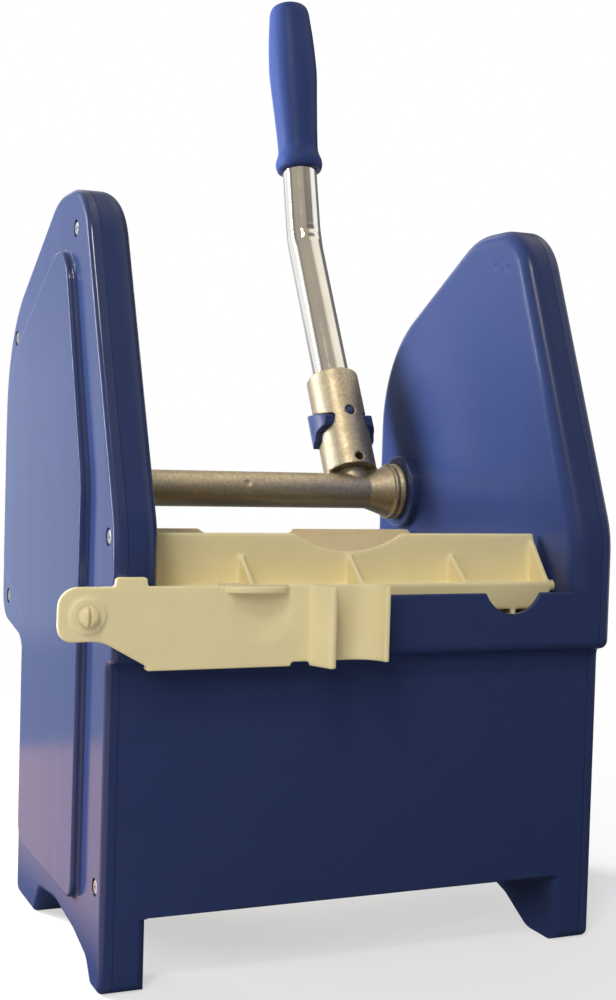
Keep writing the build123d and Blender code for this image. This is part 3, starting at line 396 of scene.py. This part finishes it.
def surround():
    """White behind the object. Reflections show it between darker screens, and an even light fills in."""
    world = bpy.data.worlds.new("studio")
    scene.world = world
    world.use_nodes = True
    tree = world.node_tree
    tree.nodes.clear()
    coords = tree.nodes.new("ShaderNodeTexCoord")
    split = tree.nodes.new("ShaderNodeSeparateXYZ")
    tree.links.new(coords.outputs["Generated"], split.inputs["Vector"])
    turn = tree.nodes.new("ShaderNodeMath")
    turn.operation = "ARCTAN2"
    tree.links.new(split.outputs["X"], turn.inputs[0])
    tree.links.new(split.outputs["Y"], turn.inputs[1])
    bearing = span(tree, turn.outputs["Value"], 0, 1, -pi, pi)

    def band(*stops):
        """Colours by bearing in degrees from behind the object, positive to the right."""
        return ramp(tree, bearing, *[((degrees + 180) / 360, colour) for degrees, colour in stops])

    dark = (0.06, 0.06, 0.07)
    dim = (0.17, 0.16, 0.15)
    grey = (0.42, 0.38, 0.32)
    faint = (0.36, 0.40, 0.47)
    pale = (0.52, 0.56, 0.62)
    warm = (1, 0.93, 0.80)
    fill = (0.30, 0.30, 0.31)
    left = [(-86, dim), (-76, white), (-46, white)]
    behind = [(-4, white), (10, white)]
    right = [(40, dim), (74, dim), (86, white), (116, white), (130, dim), (174, dim)]
    shadow = [(-40, dark), (-22, dark)]
    level = band((-180, dim), *left, *shadow, (-17, pale), (-10, pale), *behind, (18, pale), *right)
    low_sky = [(-22, white), (-17, faint), (-10, faint)]
    raised = band((-180, grey), (-100, grey), *left, *low_sky, *behind, (18, faint), *right)
    overhead = band((-180, grey), (20, grey), (50, warm), (130, warm), (160, grey))
    rise = split.outputs["Z"]
    skyline = (0.03, 0.12)
    roof_line = (0.5, 0.75)
    lower = mixed(tree, span(tree, rise, 0, 1, *skyline), level, raised)
    colour = mixed(tree, span(tree, rise, 0, 1, *roof_line), lower, overhead)

    def glow(value):
        """A light from all round, of one colour or of a colour by direction."""
        node = tree.nodes.new("ShaderNodeBackground")
        if isinstance(value, tuple):
            node.inputs["Color"].default_value = (*value, 1)
        else:
            tree.links.new(value, node.inputs["Color"])
        return node.outputs["Background"]

    path = tree.nodes.new("ShaderNodeLightPath")
    seen_in = tree.nodes.new("ShaderNodeMath")
    seen_in.operation = "MAXIMUM"
    tree.links.new(path.outputs["Is Glossy Ray"], seen_in.inputs[0])
    tree.links.new(path.outputs["Is Transmission Ray"], seen_in.inputs[1])
    around = picked(tree, seen_in.outputs["Value"], glow(fill), glow(colour))
    out = tree.nodes.new("ShaderNodeOutputWorld")
    tree.links.new(picked(tree, path.outputs["Is Camera Ray"], around, glow(white)), out.inputs["Surface"])


def lamp(name, place, size, power, colour, mirrored=False):
    """A soft box of a width and height that faces the object, and shows in reflections or not."""
    aim = Vector((0, 0, 0.28))
    data = bpy.data.lights.new(name, "AREA")
    data.shape = "RECTANGLE"
    data.size, data.size_y = size
    data.energy = power
    data.color = colour
    light = bpy.data.objects.new(name, data)
    light.location = place
    light.rotation_euler = (aim - Vector(place)).to_track_quat("-Z", "Y").to_euler()
    light.visible_glossy = mirrored
    scene.collection.objects.link(light)


def floor():
    """A pale floor that fades to white. Reflections show its near part dim, and warm on the left."""
    white_from = (0.2, 0.9)
    rug_end = (1.3, 1.6)
    left_from = (-0.2, -0.17)
    shape = bmesh.new()
    bmesh.ops.create_circle(shape, cap_ends=True, segments=64, radius=8)
    piece = from_shape("floor", shape)
    material, tree, shader = new_material("pale_floor")
    shader.inputs["Roughness"].default_value = 0.9
    shader.inputs["Specular IOR Level"].default_value = 0.1
    coords = tree.nodes.new("ShaderNodeTexCoord")
    split = tree.nodes.new("ShaderNodeSeparateXYZ")
    far = tree.nodes.new("ShaderNodeVectorMath")
    far.operation = "LENGTH"
    path = tree.nodes.new("ShaderNodeLightPath")
    tree.links.new(coords.outputs["Object"], split.inputs["Vector"])
    tree.links.new(coords.outputs["Object"], far.inputs[0])
    grey = (0.40, 0.40, 0.40)
    pale = (0.88, 0.88, 0.88)
    seen = ramp(tree, path.outputs["Is Camera Ray"], (0, grey), (1, pale))
    tree.links.new(seen, shader.inputs["Base Color"])
    fade = tree.nodes.new("ShaderNodeMath")
    fade.operation = "MULTIPLY"
    tree.links.new(span(tree, far.outputs["Value"], 0.55, 1, *white_from), fade.inputs[0])
    tree.links.new(path.outputs["Is Camera Ray"], fade.inputs[1])
    bright = tree.nodes.new("ShaderNodeEmission")
    lit = picked(tree, fade.outputs["Value"], shader.outputs["BSDF"], bright.outputs["Emission"])
    dim = (0.06, 0.06, 0.06)
    slate = (0.33, 0.36, 0.41)
    warm = (0.85, 0.58, 0.47)
    behind = span(tree, split.outputs["Y"], 0, 1, 0, 1)
    left_side = ramp(tree, behind, (0.54, warm), (0.60, slate))
    right_side = ramp(tree, behind, (0, dim), (1, white))
    mirrored = tree.nodes.new("ShaderNodeEmission")
    on_left = span(tree, split.outputs["X"], 1, 0, *left_from)
    tree.links.new(mixed(tree, on_left, right_side, left_side), mirrored.inputs["Color"])
    clear = tree.nodes.new("ShaderNodeBsdfTransparent")
    ends = span(tree, far.outputs["Value"], 0, 1, *rug_end)
    rug = picked(tree, ends, mirrored.outputs["Emission"], clear.outputs["BSDF"])
    surface = picked(tree, path.outputs["Is Glossy Ray"], lit, rug)
    tree.links.new(surface, tree.nodes["Material Output"].inputs["Surface"])
    piece.data.materials.append(material)
    piece.location.z = -0.2 * mm


# Pieces that take the place of CAD nodes


def lever_casting():
    """Shaft, collars and socket in one casting, with two round ejector marks in front."""
    piece = soft_copy("lever_shaft", "lever_casting", 0.7 * mm, 6)
    facing = Vector((0, -0.9, 0.4))
    mark_r = 3.4 * mm
    mark_deep = 0.8 * mm
    for mark_x in (2 * mm, 110 * mm):
        centre = Vector((mark_x, shaft_at.y - 12 * mm, shaft_at.z + 5 * mm))
        dent(piece, centre, mark_r, mark_deep, facing)
    stand_in(piece, "lever_shaft")


def bent_tube():
    """Chromed tube with one bend, creased a little on the inside of it."""
    turn = lean - grip_lean
    bend_r = 90 * mm
    run_in = bend_r * tan(turn / 2)
    wall = 1.5 * mm
    half_waves = 5  # of creases along the bend
    crease_deep = 0.3 * mm
    crease_wide = 0.5  # radians round the tube
    flattened = 0.25 * mm
    arc_steps = 40
    tube_foot = 24 * mm
    start = lever_foot + tube_foot * lower_run
    end = bend_at + (grip_low + grip_long - grip_end) * upper_run
    centre = bend_at - run_in * lower_run - bend_r * lower_run.cross(across)
    rings = [(start, lean, 0)]
    for step in range(arc_steps + 1):
        share = step / arc_steps
        angle = lean - turn * share
        along = Vector((0, sin(angle), cos(angle)))
        rings.append((centre + bend_r * along.cross(across), angle, share))
    rings.append((end, grip_lean, 1))
    shape = bmesh.new()

    def ring_of(middle, angle, share, radius):
        """A ring of corners, drawn out of round where the tube bends."""
        along = Vector((0, sin(angle), cos(angle)))
        inside = across.cross(along)
        bent = sin(pi * share) ** 2
        ring = []
        for side in range(round_steps):
            around = 2 * pi * side / round_steps - pi
            ripple = cos(half_waves * pi * (share - 0.5))
            crease = crease_deep * ripple * exp(-((around / crease_wide) ** 2))
            reach = radius + bent * (crease - flattened * cos(2 * around))
            ring.append(shape.verts.new(middle + reach * (cos(around) * inside + sin(around) * across)))
        return ring

    outer = [ring_of(*ring, tube_r) for ring in rings]
    inner = [ring_of(*ring, tube_r - wall) for ring in reversed(rings)]
    loops = outer + inner
    for ring, after in zip(loops, loops[1:] + loops[:1]):
        for side in range(round_steps):
            shape.faces.new((ring[side - 1], ring[side], after[side], after[side - 1]))
    stand_in(from_shape("bent_tube", shape), "lever_tube")


def hand_grip():
    """Turned grip with a flared bead at its lower end and a closed top, its outline in millimetres."""
    low = bend_at + grip_low * upper_run
    bead = [(16.2, 0.0), (17.9, 0.8), (19.0, 4.0), (18.9, 8.0), (17.4, 12.5)]
    handle = [(16.4, 17.5), (16.6, 28.0), (18.0, 55.0), (19.5, 80.0), (19.6, 92.0), (18.6, 114.0)]
    top = [(17.1, 131.0), (16.3, 138.0), (14.6, 142.5), (11.0, 144.7)]
    bore = [(0, 135.0), (13.9, 135.0), (14.1, 134.8), (14.1, 0.4), (14.5, 0.0)]
    line = [*bore, *smooth_line([*bead, *handle, *top], 6), (0, 145.0)]
    profile = [(radius * mm, height * mm) for radius, height in line]
    stand_in(lathe("hand_grip", profile, low, upper_run), "lever_grip")


def latch():
    """Soft cream latch arm and its split snap pin."""
    stand_in(soft_copy("latch_arm", "latch", 0.6 * mm, 14), "latch_arm")
    stand_in(soft_copy("latch_pin", "snap_pin", 0.3 * mm, 3), "latch_pin")


def release_wings():
    """Squeeze wings in the sides of the socket, drawn in a little to slide in its softened windows."""
    drawn_in = 0.045
    for side in ("left", "right"):
        wing = soft_copy(f"release_wing_{side}", f"wing_{side}", 0.4 * mm, 6)
        corners = wing.data.vertices
        middle = sum((corner.co for corner in corners), Vector()) / len(corners)
        for corner in corners:
            away = corner.co - middle
            corner.co -= drawn_in * (away - away.dot(across) * across)
        stand_in(wing, f"release_wing_{side}")


def press_plates():
    """Front plate and rear jaw with rounded moulded edges."""
    stand_in(soft_copy("front_plate", "plate", 0.9 * mm, 4, 0.35), "front_plate")
    stand_in(soft_copy("rear_jaw", "jaw", 1.0 * mm, 3, 0.35), "rear_jaw")


for node, cad in nodes.items():
    dress(cad, node)
lever_casting()
bent_tube()
hand_grip()
latch()
release_wings()
press_plates()

place_camera()
surround()
floor()
lamp("window", (-1.25, 1.30, 0.75), (0.5, 1.2), 88, (0.97, 0.98, 1.0))
lamp("strip", (-1.39, 0.80, 0.65), (0.12, 1.2), 11, (0.97, 0.98, 1.0), mirrored=True)
lamp("front", (-1.2, -1.5, 1.2), (0.9, 0.9), 14, (1, 0.96, 0.90))
lamp("ceiling", (-1.2, -1.55, 2.6), (0.5, 0.5), 22, (1, 0.92, 0.80), mirrored=True)
